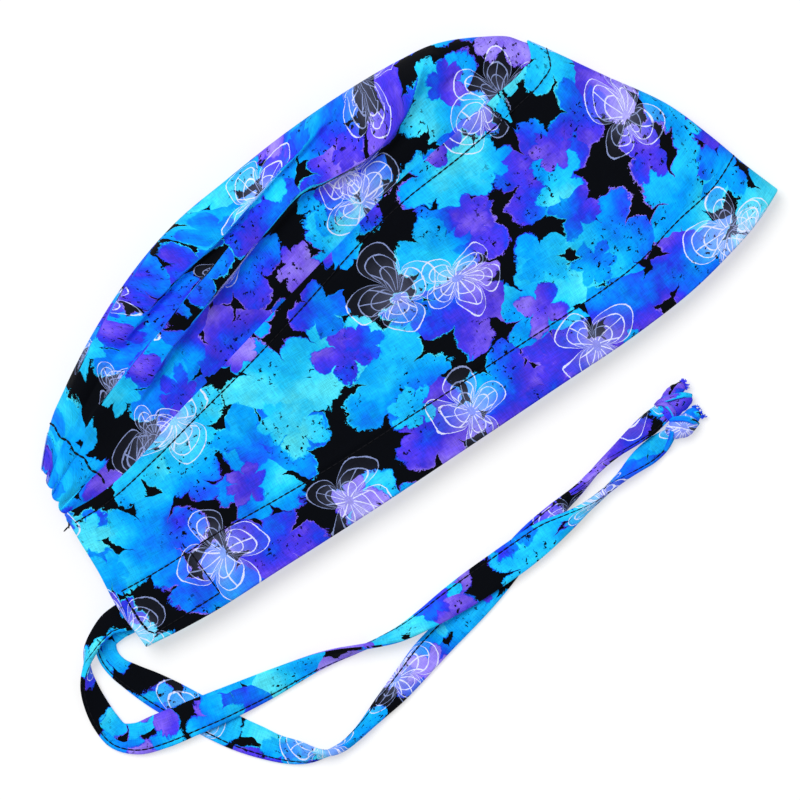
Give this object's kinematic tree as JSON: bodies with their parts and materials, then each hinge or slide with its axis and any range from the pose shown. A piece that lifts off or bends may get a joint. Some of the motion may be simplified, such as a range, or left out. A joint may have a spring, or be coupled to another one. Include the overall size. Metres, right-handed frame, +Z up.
{
  "type": "tie-back scrub cap",
  "caption": "Printed cotton scrub cap with a deep hemmed band, gathered nape and knotted ties, lying folded flat on its side.",
  "frame": {"origin": "middle of the cap's footprint, on the surface it lies on; the loose ties are not counted", "axes": "+X along the brim from the back to the front, +Y towards the crown, +Z up from the surface"},
  "size_m": [0.3484, 0.2171, 0.0242],
  "materials": {
    "band_cloth": "plain-weave cotton with a watercolour print of blossoms on black",
    "crown_cloth": "the band's printed plain-weave cotton, softly creased",
    "wrong_side_cloth": "paler wrong side of the printed cotton",
    "tie_cloth": "printed cotton folded into a narrow tie, edge-stitched in black"
  },
  "bodies": {
    "root": {"side_panel": "band_cloth", "brim_hem": "wrong_side_cloth", "crown_panel": "crown_cloth", "nape_casing": "wrong_side_cloth", "tie_upper": "tie_cloth", "tie_lower": "tie_cloth", "knot_upper": "tie_cloth", "knot_lower": "tie_cloth"}
  },
  "joints": []
}
